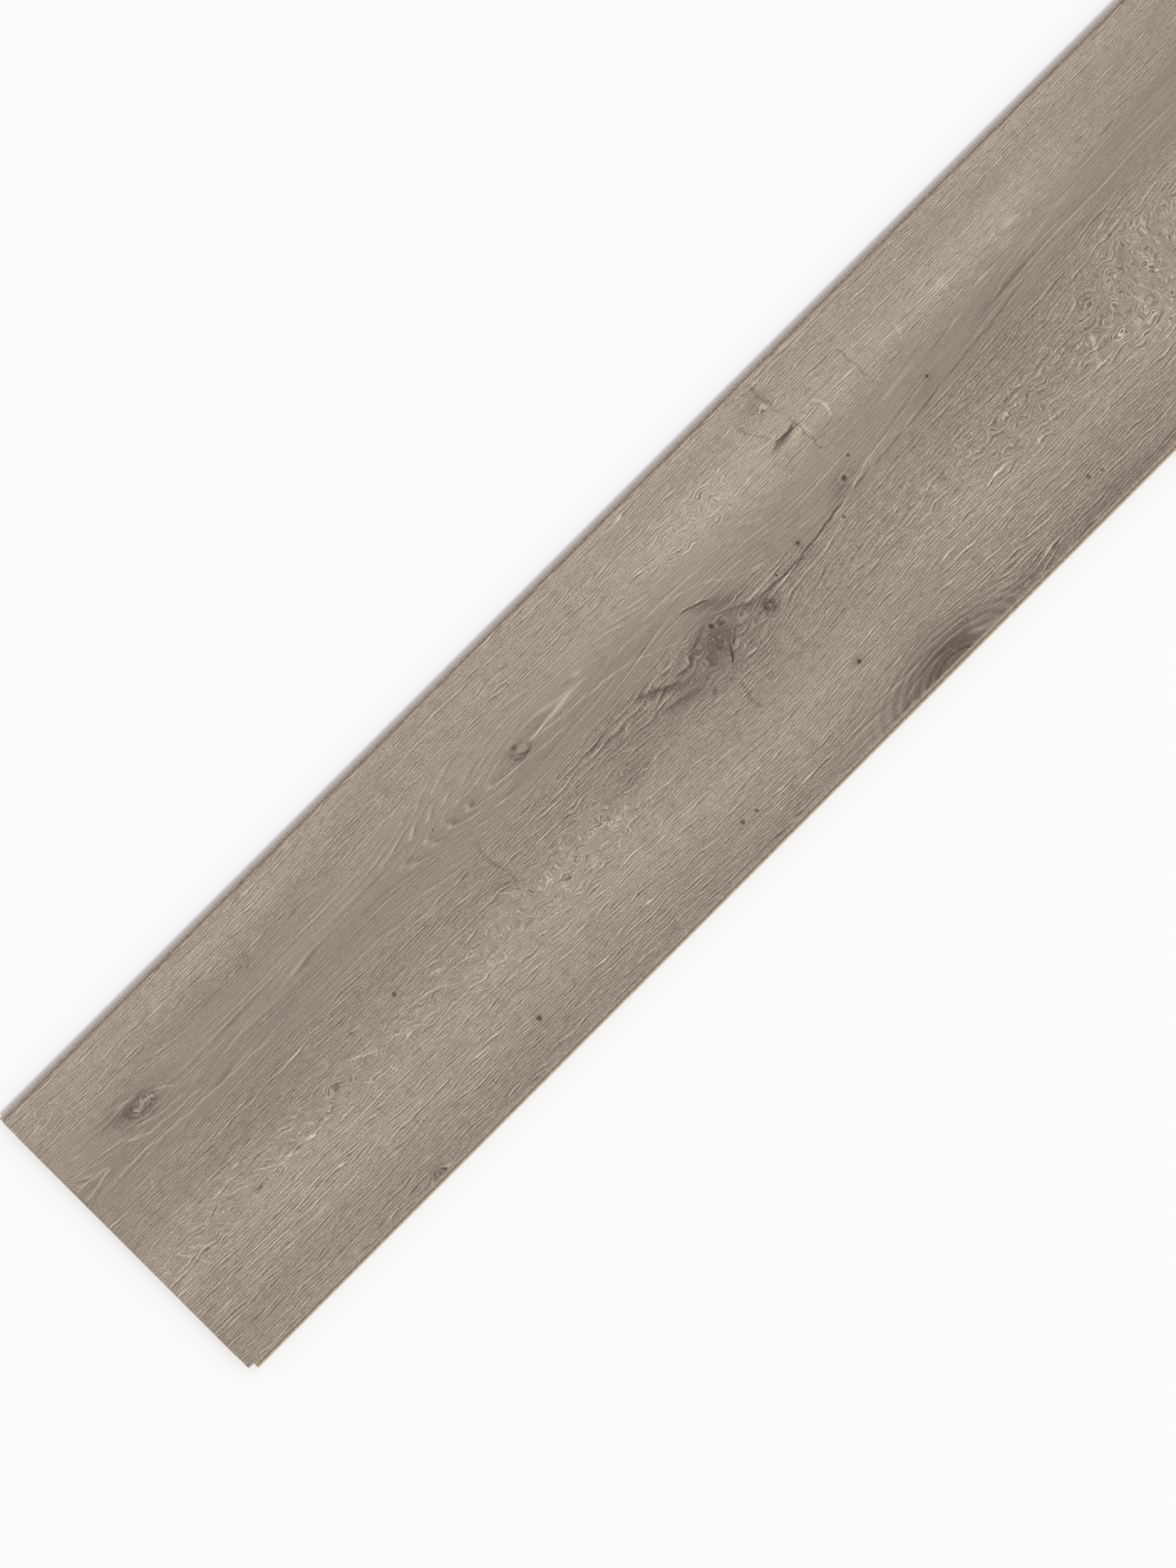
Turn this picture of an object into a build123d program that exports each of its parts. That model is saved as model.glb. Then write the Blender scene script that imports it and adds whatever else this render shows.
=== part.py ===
"""Laminate floor plank: one pressed board with a click joint milled into its four edges.

The plank lies face up on its underside. X runs along its length, Y across its width and Z up.
The origin is on the underside, below the centre of the decor face.
"""

import os

from build123d import *

# Decor face, which is what a laid plank covers, and the board's thickness.
face_length = 1380.0
face_width = 193.0
thickness = 8.0

# Room left between the faces of two joined planks, inside the joint.
joint_clearance = 0.1

# Tongue along the +Y edge, with a full round nose.
tongue_reach = 3.0
tongue_thickness = 2.6

# Locking lip along the -Y edge, below the groove, and its hook.
lip_reach = 3.6
lip_thickness = 2.2
hook_width = 1.5
hook_height = 0.9
hook_slope = 0.4
tongue_tip_room = 0.3

# Drop lock of the two ends: a lip with its hook at +X and the notch that drops on to it at -X.
end_lip_reach = 3.6
end_lip_thickness = 2.2
end_hook_width = 1.5
end_hook_height = 0.9
end_hook_slope = 0.4

# Snap bead of the -X end, which clicks into a hollow of the next plank's +X end.
bead_radius = 0.4
bead_below_face = 2.2
bead_end_margin = 10.0

# Heights and places that follow from the sizes above.
half_length = face_length / 2
half_width = face_width / 2
tongue_bottom = lip_thickness + joint_clearance
tongue_top = tongue_bottom + tongue_thickness
nose_radius = tongue_thickness / 2
groove_top = tongue_top + joint_clearance
groove_radius = (groove_top - lip_thickness) / 2
groove_depth = tongue_reach + tongue_tip_room
groove_middle = (groove_top + lip_thickness) / 2
tongue_middle = (tongue_top + tongue_bottom) / 2
underside_edge = half_width - lip_reach - joint_clearance
full_width = face_width + tongue_reach + lip_reach
bead_height = thickness - bead_below_face


def hook_outline(edge, reach, lip_top, width, height, slope):
    """Points of a hook from its foot to its outer face; edge is the joint face that its lip leaves."""
    tip = edge + reach
    top = lip_top + height
    foot = tip - width
    return [(foot, lip_top), (foot + slope, top), (tip, top)]


def pocket_outline(edge, reach, lip_top, width, height, slope):
    """Points of the hollow that takes a hook, from its mouth inwards; edge is the joint face above it."""
    back = edge - reach - joint_clearance
    front = edge - reach + width + joint_clearance
    roof = lip_top + height + joint_clearance
    return [(front, lip_top + joint_clearance), (front - slope, roof), (back, roof), (back, 0)]


def across(points):
    """The same points seen from the other edge, where the section is mirrored."""
    return [(-place, height) for place, height in points]


lip_hook = hook_outline(half_width, lip_reach, lip_thickness, hook_width, hook_height, hook_slope)
lip_pocket = pocket_outline(half_width, lip_reach, lip_thickness, hook_width, hook_height, hook_slope)
end_sizes = (end_lip_reach, end_lip_thickness, end_hook_width, end_hook_height, end_hook_slope)
end_hook = hook_outline(half_length, *end_sizes)
end_pocket = pocket_outline(half_length, *end_sizes)

with BuildPart() as plank:
    # Long section: tongue and pocket at +Y, groove and locking lip at -Y, one run along the length.
    with BuildSketch(Plane.YZ):
        with BuildLine():
            nose_start = (half_width + tongue_reach - nose_radius, tongue_top)
            nose_tip = (half_width + tongue_reach, tongue_middle)
            nose_end = (half_width + tongue_reach - nose_radius, tongue_bottom)
            groove_start = (-half_width + groove_depth - groove_radius, lip_thickness)
            groove_tip = (-half_width + groove_depth, groove_middle)
            groove_end = (-half_width + groove_depth - groove_radius, groove_top)
            Polyline((-half_width, thickness), (half_width, thickness), (half_width, tongue_top), nose_start)
            ThreePointArc(nose_start, nose_tip, nose_end)
            lip_tip = (-half_width - lip_reach, 0)
            Polyline(nose_end, *lip_pocket, lip_tip, *reversed(across(lip_hook)), groove_start)
            ThreePointArc(groove_start, groove_tip, groove_end)
            Polyline(groove_end, (-half_width, groove_top), (-half_width, thickness))
        make_face()
    extrude(amount=half_length, both=True)

    # Notch under the -X end, cut across the whole width, for the next plank's lip and hook.
    with BuildSketch(Plane.XZ):
        with BuildLine():
            Polyline(
                (-half_length, 0),
                (-half_length, end_lip_thickness + joint_clearance),
                *across(end_pocket),
                close=True,
            )
        make_face()
    extrude(amount=full_width, both=True, mode=Mode.SUBTRACT)

    # The locking lip is trimmed at that corner, because the notch takes away what carries its hook.
    with BuildSketch():
        with Locations((-half_length, -half_width)):
            Rectangle(end_lip_reach + joint_clearance, lip_reach, align=(Align.MIN, Align.MAX))
    extrude(amount=thickness, mode=Mode.SUBTRACT)

    # Lip and hook of the +X end, as wide as the face and clear of the pocket under the tongue.
    with BuildSketch(Plane.XZ.offset(half_width)):
        with BuildLine():
            Polyline(
                (half_length, 0),
                (half_length, end_lip_thickness),
                *end_hook,
                (half_length + end_lip_reach, 0),
                close=True,
            )
        make_face()
    extrude(amount=-(half_width + underside_edge))

    # Hollow of the snap bead in the +X end, and the bead on the -X end.
    bead_plane = Plane.XZ.offset(half_width - bead_end_margin)
    bead_length = face_width - 2 * bead_end_margin
    with BuildSketch(bead_plane):
        with Locations((half_length, bead_height)):
            Circle(bead_radius + joint_clearance)
    extrude(amount=-bead_length, mode=Mode.SUBTRACT)
    with BuildSketch(bead_plane):
        with Locations((-half_length, bead_height)):
            Circle(bead_radius)
    extrude(amount=-bead_length)

plank.part.label = "plank"

os.makedirs("parts", exist_ok=True)
export_step(plank.part, "parts/plank.step")
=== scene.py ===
"""Laminate floor plank: the printed and pressed decor face, the milled fibreboard edges and the backing.

Meshes are in metres in the plank's own frame. The decor is laid out in millimetres on the face, with x along
the plank and y across it, and one grain field gives both the print and the relief that is pressed into it.
"""

import logging
import math
from dataclasses import dataclass, field
from enum import Enum
from functools import partial
from typing import Callable, ClassVar, Sequence, Union

import bmesh
import bpy
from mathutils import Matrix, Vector


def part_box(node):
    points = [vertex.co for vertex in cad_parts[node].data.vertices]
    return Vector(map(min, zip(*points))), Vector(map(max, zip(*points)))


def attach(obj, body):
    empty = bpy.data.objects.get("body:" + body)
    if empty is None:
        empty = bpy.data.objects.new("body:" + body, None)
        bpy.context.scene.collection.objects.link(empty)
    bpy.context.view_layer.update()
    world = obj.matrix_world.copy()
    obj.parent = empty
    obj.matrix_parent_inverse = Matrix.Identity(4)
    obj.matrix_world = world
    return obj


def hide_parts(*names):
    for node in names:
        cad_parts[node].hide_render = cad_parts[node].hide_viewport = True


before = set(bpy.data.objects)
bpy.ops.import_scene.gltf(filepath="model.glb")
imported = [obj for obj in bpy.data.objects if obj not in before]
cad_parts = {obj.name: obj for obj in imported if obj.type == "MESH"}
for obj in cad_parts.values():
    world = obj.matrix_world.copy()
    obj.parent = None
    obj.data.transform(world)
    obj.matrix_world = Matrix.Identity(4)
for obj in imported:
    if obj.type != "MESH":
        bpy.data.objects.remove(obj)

log = logging.getLogger("laminate_plank")

MM = 0.001
TO_MM = 1000.0
PLANK_NODE = "plank"
BODY = "root"
BAKE_MAP = "OFBake"

Colour = tuple[float, float, float]
Stops = tuple[tuple[float, Colour], ...]
Edge = tuple[float, float]


class Surface(Enum):
    """Material slots of the plank, in the order that its mesh holds them."""

    DECOR = 0
    CORE = 1
    BACKING = 2


def linear(red: float, green: float, blue: float) -> tuple[float, float, float, float]:
    """Turns a colour written as 0 to 255 into the linear values that shaders take.

    Args:
        red: Red as seen on a screen.
        green: Green as seen on a screen.
        blue: Blue as seen on a screen.

    Returns:
        The same colour in linear light, with full alpha.
    """
    parts = []
    for part in (red, green, blue):
        share = part / 255
        parts.append(share / 12.92 if share <= 0.04045 else ((share + 0.055) / 1.055) ** 2.4)
    return (*parts, 1.0)


class Signal:
    """A number that runs through a node tree. Sums on it add nodes to that tree."""

    def __init__(self, bench: "Bench", socket: bpy.types.NodeSocket) -> None:
        """Keeps the bench and the socket that gives the number."""
        self.bench = bench
        self.socket = socket

    def __add__(self, other: "Feed") -> "Signal":
        """Sum of two signals."""
        return self.bench.math("ADD", self, other)

    def __sub__(self, other: "Feed") -> "Signal":
        """Difference of two signals."""
        return self.bench.math("SUBTRACT", self, other)

    def __rsub__(self, other: "Feed") -> "Signal":
        """Difference from a plain number."""
        return self.bench.math("SUBTRACT", other, self)

    def __mul__(self, other: "Feed") -> "Signal":
        """Product of two signals."""
        return self.bench.math("MULTIPLY", self, other)

    def __truediv__(self, other: "Feed") -> "Signal":
        """Quotient of two signals."""
        return self.bench.math("DIVIDE", self, other)

    def size(self) -> "Signal":
        """The number without its sign."""
        return self.bench.math("ABSOLUTE", self)

    def root(self) -> "Signal":
        """Square root."""
        return self.bench.math("SQRT", self)

    def onto(self, base: "Feed", amount: "Feed") -> "Signal":
        """Adds this signal to another one, by an amount."""
        return self.bench.math("MULTIPLY_ADD", self, amount, base)

    def wave(self) -> "Signal":
        """Cosine."""
        return self.bench.math("COSINE", self)

    def crest(self, sharpness: float) -> "Signal":
        """Narrow ridges from 0 to 1, one for each full turn."""
        return self.bench.math("POWER", self.wave() * 0.5 + 0.5, sharpness)

    def at_least(self, floor: "Feed") -> "Signal":
        """The larger of two numbers."""
        return self.bench.math("MAXIMUM", self, floor)

    def at_most(self, ceiling: "Feed") -> "Signal":
        """The smaller of two numbers."""
        return self.bench.math("MINIMUM", self, ceiling)

    def bell(self) -> "Signal":
        """A hump that is 1 at zero and falls away on both sides."""
        return self.bench.math("EXPONENT", self * self * -1.0)

    def fade(self, none: float, full: float) -> "Signal":
        """A smooth step from 0 at none to 1 at full, which may lie below none."""
        return self.bench.ramp(self, none, full)


Feed = Union[Signal, float]
Place = tuple[Signal, Signal]


@dataclass(frozen=True)
class Cells:
    """Smooth noise of one kind: the size of its cells in millimetres, and how strongly it is added."""

    length: float
    width: float
    seed: float
    by: float = 1.0
    detail: float = 0.0
    roughness: float = 0.5
    height: float = 0.0


@dataclass(frozen=True)
class Course:
    """A value that changes smoothly: points that its curve passes, and the most that it may be."""

    points: Sequence[tuple[float, float]]
    reach: float


class Bench:
    """Adds nodes to one tree, for shaders and for geometry alike."""

    seed_step: tuple[float, float] = (7.31, 3.77)

    def __init__(self, tree: bpy.types.NodeTree) -> None:
        """Keeps the tree that the nodes go into."""
        self.tree = tree

    def node(self, kind: str, **settings: object) -> bpy.types.Node:
        """Adds one node.

        Args:
            kind: The node's type.
            settings: Properties of the node, by name.

        Returns:
            The new node.
        """
        node = self.tree.nodes.new(kind)
        for name, value in settings.items():
            setattr(node, name, value)
        return node

    def feed(self, socket: bpy.types.NodeSocket, value: object) -> None:
        """Gives a socket its value.

        Args:
            socket: The socket.
            value: A signal or another socket, which is linked to it, or a plain value.
        """
        if isinstance(value, Signal):
            value = value.socket
        if isinstance(value, bpy.types.NodeSocket):
            self.tree.links.new(value, socket)
        else:
            socket.default_value = value

    def _step(self, kind: str, operation: str, values: Sequence[object]) -> bpy.types.Node:
        """Adds one step of arithmetic.

        Args:
            kind: The node's type.
            operation: What the step does.
            values: What it works on.

        Returns:
            The step's node.
        """
        node = self.node(kind, operation=operation)
        for socket, value in zip(node.inputs, values):
            self.feed(socket, value)
        return node

    def math(self, operation: str, *values: Feed) -> Signal:
        """Adds one step of arithmetic and returns its result."""
        return Signal(self, self._step("ShaderNodeMath", operation, values).outputs[0])

    def vector(self, operation: str, *values: object) -> bpy.types.NodeSocket:
        """Adds one step of arithmetic on vectors and returns the vector that it gives."""
        return self._step("ShaderNodeVectorMath", operation, values).outputs[0]

    def measure(self, operation: str, *values: object) -> Signal:
        """Adds one step of arithmetic on vectors and returns the number that it gives."""
        return Signal(self, self._step("ShaderNodeVectorMath", operation, values).outputs[1])

    def ramp(self, value: Signal, none: float, full: float) -> Signal:
        """Adds a smooth step.

        Args:
            value: The signal that runs up the step.
            none: Where the result is 0.
            full: Where the result is 1, which may lie below none.

        Returns:
            The step, between 0 and 1.
        """
        node = self.node("ShaderNodeMapRange", interpolation_type="SMOOTHSTEP")
        self.feed(node.inputs["Value"], value)
        node.inputs["From Min"].default_value = none
        node.inputs["From Max"].default_value = full
        return Signal(self, node.outputs[0])

    def joined(self, x: Signal, y: Signal) -> bpy.types.NodeSocket:
        """Puts two signals into one vector.

        Args:
            x: Its first part.
            y: Its second part.

        Returns:
            The vector.
        """
        node = self.node("ShaderNodeCombineXYZ")
        self.feed(node.inputs["X"], x)
        self.feed(node.inputs["Y"], y)
        return node.outputs[0]

    def parted(self, vector: bpy.types.NodeSocket) -> dict[str, Signal]:
        """Takes a vector apart.

        Args:
            vector: The vector.

        Returns:
            Its parts, under X, Y and Z.
        """
        node = self.node("ShaderNodeSeparateXYZ")
        self.feed(node.inputs[0], vector)
        return {socket.name: Signal(self, socket) for socket in node.outputs}

    def noise(self, spot: bpy.types.NodeSocket, cells: Cells) -> Signal:
        """Adds smooth noise about zero.

        Args:
            spot: Place along and across the grain, in millimetres.
            cells: The kind of noise. It also changes upwards if its cells have a height.

        Returns:
            The noise, mostly between -1 and 1.
        """
        size = (1.0 / cells.length, 1.0 / cells.width, 1.0 / cells.height if cells.height else 0.0)
        start = (self.seed_step[0] * cells.seed, self.seed_step[1] * cells.seed, 0.0)
        kind = "3D" if cells.height else "2D"
        node = self.node("ShaderNodeTexNoise", noise_dimensions=kind, normalize=False)
        self.feed(node.inputs["Vector"], self.vector("MULTIPLY_ADD", spot, size, start))
        node.inputs["Scale"].default_value = 1.0
        node.inputs["Detail"].default_value = cells.detail
        node.inputs["Roughness"].default_value = cells.roughness
        return Signal(self, node.outputs[0])

    def varied(self, base: Feed, spot: bpy.types.NodeSocket, cells: Cells) -> Signal:
        """Adds noise to a value, as strongly as the noise's own amount says."""
        return self.noise(spot, cells).onto(base, cells.by)

    def ring(self, place: Place, middle: Sequence[float], size: Sequence[float], turn: float = 0.0) -> Signal:
        """Distance from the middle of an ellipse, which is 1 on the ellipse.

        Args:
            place: Place along and across the face, in millimetres.
            middle: The ellipse's middle, in millimetres.
            size: Its length and width, in millimetres.
            turn: Its slant against the plank's length, in degrees.

        Returns:
            The distance.
        """
        slant = Vector((math.cos(math.radians(turn)), math.sin(math.radians(turn))))
        parts = []
        for way, reach in ((slant, size[0]), (Vector((-slant.y, slant.x)), size[1])):
            share = way * (2.0 / reach)
            part = -share.dot(middle)
            for signal, factor in zip(place, share):
                if factor:
                    part = signal.onto(part, factor)
            parts.append(part)
        along, across = parts
        return across.onto(along * along, across).root()

    def curve(self, value: Signal, course: Course) -> Signal:
        """Adds a smooth curve through a few points.

        Args:
            value: The signal that runs along the curve.
            course: Where the curve passes, with rising first values.

        Returns:
            The curve's height at the signal.
        """
        first, last = course.points[0][0], course.points[-1][0]
        node = self.node("ShaderNodeFloatCurve")
        line = node.mapping.curves[0]
        places = [((x - first) / (last - first), 0.5 + 0.5 * y / course.reach) for x, y in course.points]
        line.points[0].location = places[0]
        line.points[1].location = places[-1]
        for place in places[1:-1]:
            line.points.new(*place)
        node.mapping.extend = "HORIZONTAL"
        node.mapping.update()
        self.feed(node.inputs["Value"], (value - first) / (last - first))
        return (Signal(self, node.outputs[0]) - 0.5) * (2 * course.reach)

    def packed(self, name: str, given: Sequence[Signal], work: Callable[..., Signal]) -> Signal:
        """Works a signal out in a tree of its own, because a small tree is quick to write.

        Args:
            name: The inner tree's name.
            given: The signals that go into it.
            work: Takes the same signals inside the inner tree and returns the result there.

        Returns:
            The result, in this tree.
        """
        kind = self.tree.bl_idname
        inner = Bench(bpy.data.node_groups.new(name, kind))
        face = inner.tree.interface
        for number in range(len(given)):
            face.new_socket(f"in_{number}", in_out="INPUT", socket_type="NodeSocketFloat")
        face.new_socket("out", in_out="OUTPUT", socket_type="NodeSocketFloat")
        inlets = inner.node("NodeGroupInput").outputs
        result = work(*(Signal(inner, inlets[number]) for number in range(len(given))))
        inner.feed(inner.node("NodeGroupOutput").inputs[0], result)
        node = self.node(kind.replace("NodeTree", "NodeGroup"), node_tree=inner.tree)
        for socket, signal in zip(node.inputs, given):
            self.feed(socket, signal)
        return Signal(self, node.outputs[0])


class Mark:
    """A mark of the decor. Sizes are in millimetres. Tones are shares of full brightness, dark ones below 0.

    An edge says how far from a mark's middle something is gone and where it is full, with 1 on the outline.
    """

    tone: float
    dent: float = 0.0

    def share(self, place: Place) -> Signal:
        """How fully a place lies in the mark, from 0 to 1."""
        raise NotImplementedError

    def draw(self, place: Place, tone: Signal) -> Signal:
        """Adds the mark to a tone."""
        return self.share(place).onto(tone, self.tone)


@dataclass(frozen=True)
class Oval(Mark):
    """A mark with a slanted oval outline."""

    edge: ClassVar[Edge]
    x: float
    y: float
    length: float
    width: float
    turn: float = 0.0

    def outline(self, place: Place) -> Signal:
        """Distance from the mark's middle, which is 1 on its outline."""
        return place[0].bench.ring(place, (self.x, self.y), (self.length, self.width), self.turn)

    def share(self, place: Place) -> Signal:
        """1 in the middle of the mark, falling to 0 at its edge."""
        return self.outline(place).fade(*self.edge)


@dataclass(frozen=True)
class Patch(Oval):
    """A soft lighter or darker patch of the print."""

    edge: ClassVar[Edge] = (1.4, 0.0)
    tone: float = 0.0


@dataclass(frozen=True)
class Fleck(Oval):
    """A slim straight mark with pointed ends: a ray fleck, a vein or a short crack."""

    edge: ClassVar[Edge] = (1.15, 0.35)
    tone: float = 0.0
    dent: float = 0.0


@dataclass(frozen=True)
class Knot(Oval):
    """A knot that the grain runs round, with a halo, a body, a rim, rings and an eye.

    The grain parts within about reach of the knot, and stretch times as far along the plank. Spread says by
    how much.
    """

    edge: ClassVar[Edge] = (1.2, 0.5)
    halo_edge: ClassVar[Edge] = (3.0, 0.4)
    body_edge: ClassVar[Edge] = (1.15, 0.7)
    rings_edge: ClassVar[Edge] = (1.5, 0.8)
    eye_edge: ClassVar[Edge] = (0.5, 0.2)
    rim_sharpness: ClassVar[float] = 3.5
    reach: float = 8.0
    stretch: float = 2.3
    spread: float = 0.85
    body: float = 0.0
    rim: float = 0.0
    halo: float = 0.0
    rings: float = 2.0
    ring_tone: float = 0.0
    eye: float = 0.0
    dent: float = 0.10
    at_edge: bool = False

    def draw(self, place: Place, tone: Signal) -> Signal:
        """Adds the knot to a tone.

        Args:
            place: Place along and across the face, in millimetres.
            tone: The tone without the knot.

        Returns:
            The tone with it.
        """
        ring = self.outline(place)
        tone = ring.fade(*self.halo_edge).onto(tone, self.halo)
        tone = ring.fade(*self.body_edge).onto(tone, self.body)
        tone = ((ring - 1.0) * self.rim_sharpness).bell().onto(tone, self.rim)
        waves = (ring * (self.rings * math.tau)).wave() * ring.fade(*self.rings_edge)
        tone = waves.onto(tone, self.ring_tone)
        return ring.fade(*self.eye_edge).onto(tone, self.eye)

    def part(self, spot: bpy.types.NodeSocket, y: Signal, line: Signal) -> Signal:
        """Runs the grain round the knot.

        Args:
            spot: Place along and across the plank, in millimetres.
            y: Place across the plank, in millimetres.
            line: The grain's lines without the knot.

        Returns:
            The grain's lines with it.
        """
        bench = y.bench
        shrink = 1.0 / self.stretch
        away = (-self.x * shrink, -self.y, 0.0)
        local = bench.vector("MULTIPLY_ADD", spot, (shrink, 1.0, 0.0), away)
        square = self.reach**2
        near = bench.math("DIVIDE", square, bench.measure("DOT_PRODUCT", local, local) + square)
        if self.at_edge:
            return (near * (bench.measure("LENGTH", local) + self.y - y)).onto(line, self.spread)
        return (near * (y - self.y)).onto(line, -self.spread)


@dataclass(frozen=True)
class Pin(Mark):
    """A pin knot: a dark dot with a shade round it and a small pale ring."""

    edge: ClassVar[Edge] = (1.6, 0.4)
    shade_edge: ClassVar[Edge] = (4.5, 0.8)
    dot_edge: ClassVar[Edge] = (1.2, 0.6)
    shade: ClassVar[float] = 0.22
    ring_place: ClassVar[float] = 1.9
    ring_sharpness: ClassVar[float] = 1.6
    x: float
    y: float
    size: float
    tone: float
    ring: float = 0.03
    dent: float = 0.12

    def outline(self, place: Place) -> Signal:
        """Distance from the dot's middle, which is 1 on its outline."""
        return place[0].bench.ring(place, (self.x, self.y), (self.size, self.size))

    def share(self, place: Place) -> Signal:
        """1 in the middle of the dot, falling to 0 past its outline."""
        return self.outline(place).fade(*self.edge)

    def draw(self, place: Place, tone: Signal) -> Signal:
        """Adds the pin knot's shade, dot and ring to a tone.

        Args:
            place: Place along and across the face, in millimetres.
            tone: The tone without the pin knot.

        Returns:
            The tone with it.
        """
        ring = self.outline(place)
        tone = ring.fade(*self.shade_edge).onto(tone, self.tone * self.shade)
        tone = ring.fade(*self.dot_edge).onto(tone, self.tone)
        return ((ring - self.ring_place) * self.ring_sharpness).bell().onto(tone, self.ring)


@dataclass(frozen=True)
class Trace(Mark):
    """A thin line through a few points in order of x, or in order of y if it runs across the plank."""

    core: ClassVar[float] = 0.15
    full_length: ClassVar[float] = 0.36
    reach: ClassVar[float] = 30.0
    points: tuple[tuple[float, float], ...]
    width: float
    tone: float
    dent: float = 0.0
    across: bool = False

    def share(self, place: Place) -> Signal:
        """How fully a place lies on the line.

        Args:
            place: Place along and across the face, in millimetres.

        Returns:
            1 on the line, falling to 0 at its width and towards its ends.
        """
        side, run = place if self.across else reversed(place)
        order = 1 if self.across else 0
        points = [(point[order], point[1 - order]) for point in self.points]
        first, last = points[0][0], points[-1][0]
        middle = sum(height for _, height in points) / len(points)
        bent = [(step, height - middle) for step, height in points]
        path = run.bench.curve(run, Course(bent, self.reach)) + middle
        length = last - first
        inner = (run - (first + last) / 2).size().fade(length / 2, length * self.full_length)
        return (side - path).size().fade(self.width, self.width * self.core) * inner


# Marks of the print, in millimetres from the middle of the face
KNOTS = (
    Knot(-629, 49.5, 21, 12, -14, spread=0.7, body=-0.04, rim=-0.025, halo=-0.045, rings=2.6, ring_tone=0.03),
    Knot(-341, 40, 15, 9, -8, reach=6.5, stretch=2.6, spread=0.7, body=-0.03, rim=-0.03, halo=-0.03,
         ring_tone=0.012),
    Knot(-222, 4, 30, 18, 12, reach=24, stretch=1.8, spread=0.45, body=-0.02, halo=-0.06),
    Knot(-290, 8, 20, 12, reach=13, stretch=4, spread=0.45, halo=-0.02, dent=0),
    Knot(-185.2, -1.3, 8, 7, reach=6, stretch=1.7, spread=0.5, body=-0.13, rim=-0.04, halo=-0.06),
    Knot(-134, -98, 36, 24, reach=26, stretch=2.2, spread=1, body=-0.08, rim=-0.02, halo=-0.07, rings=5.5,
         ring_tone=0.012, eye=0.03, at_edge=True),
    Knot(-134, -98, 112, 44, spread=0, halo=-0.01, rings=6.6, ring_tone=0.035, dent=0),
    Knot(-538, -95.5, 9, 8, reach=6, spread=1, body=-0.05, rim=-0.03, halo=-0.03, ring_tone=0.04, eye=-0.03,
         at_edge=True),
    Knot(318, -44, 14, 8, 5, reach=7, body=-0.05, rim=-0.04, halo=-0.05, ring_tone=0.04, eye=-0.08),
    Knot(538, 58, 16, 9, -6, body=-0.06, rim=-0.04, halo=-0.05, ring_tone=0.04, eye=-0.06),
)

PINS = (
    Pin(-532, 62, 1.6, -0.12),
    Pin(-485.6, -6.5, 2.6, -0.22),
    Pin(-406, 43, 1.6, -0.10),
    Pin(-438, -73, 3, -0.24),
    Pin(-281, -76, 2.6, -0.20),
    Pin(-271, -77, 2.2, -0.16),
    Pin(-342, 43, 3, -0.12, 0.02),
    Pin(-216.4, 13.5, 2.8, -0.26, 0.07),
    Pin(-200, 6, 2.4, -0.06, 0.08),
    Pin(-171, 7.8, 1.6, -0.24, 0.07),
    Pin(-150, 12, 2, -0.28, 0.01),
    Pin(-121.5, 4.3, 2, -0.18, 0.07),
    Pin(-105.8, 19.2, 3, -0.20, 0.09),
    Pin(-95.5, 26.5, 2, -0.20, 0.07),
    Pin(-172, -58.5, 2.8, -0.26, 0.01),
    Pin(-33.7, 26.8, 1.9, -0.26, 0.02),
    Pin(-9.5, -76, 2.6, -0.15, 0.05),
    Pin(-1, -79, 2.2, -0.13, 0.05),
    Pin(214, 71, 2, -0.20),
    Pin(396, -71, 2.4, -0.20),
    Pin(442, 12, 2, -0.22),
    Pin(612, -24, 2.2, -0.20),
)

PATCHES = (
    Patch(-644, 53, 30, 11, -16, -0.06),
    Patch(-636.5, 49.5, 9, 7, 40, -0.07),
    Patch(-234, 9.5, 24, 6, 25, -0.07),
    Patch(-570, 67, 260, 26, 0, -0.04),
    Patch(-570, 30, 280, 26, 0, -0.03),
    Patch(-170, -22, 240, 56, 0, -0.035),
    Patch(20, -12, 220, 72, 0, -0.043),
    Patch(40, -58, 160, 34, 0, -0.02),
    Patch(-160, 57, 300, 46, 0, 0.08),
    Patch(40, 58, 220, 40, 0, 0.05),
    Patch(-388, 38, 26, 10, 0, -0.03),
    Patch(-308, -13, 50, 18, 18, -0.05),
    Patch(-400, -8, 24, 12, -20, -0.04),
    Patch(-260, 6, 44, 7, -24, -0.09),
    Patch(-258, -5, 36, 9, -10, -0.08),
    Patch(-218, 5, 24, 13, 12, -0.09),
    Patch(-207, 21.8, 36, 8, -29, -0.09),
    Patch(-196, 8, 30, 6, -22, -0.08),
    Patch(-160, -90, 120, 20, 8, -0.04),
    Patch(-60, -96, 190, 26, 0, -0.07),
    Patch(50, -96, 150, 26, 0, -0.04),
    Patch(-107, 20, 30, 14, 20, -0.05),
    Patch(-112, 15, 26, 9, 14, -0.05),
    Patch(-113, 83, 24, 18, 0, -0.05),
    Patch(-114, 58, 28, 5, 6, -0.08),
    Patch(-107, 55.3, 13, 5, 8, 0.07),
    Patch(-113.5, -91, 9, 8, 0, 0.06),
    Patch(-39, 23, 34, 12, 8, -0.04),
    Patch(36, 32, 60, 9, 4, -0.04),
    Patch(300, 10, 180, 30, 3, -0.04),
    Patch(560, -40, 200, 40, 0, 0.03),
)

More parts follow.
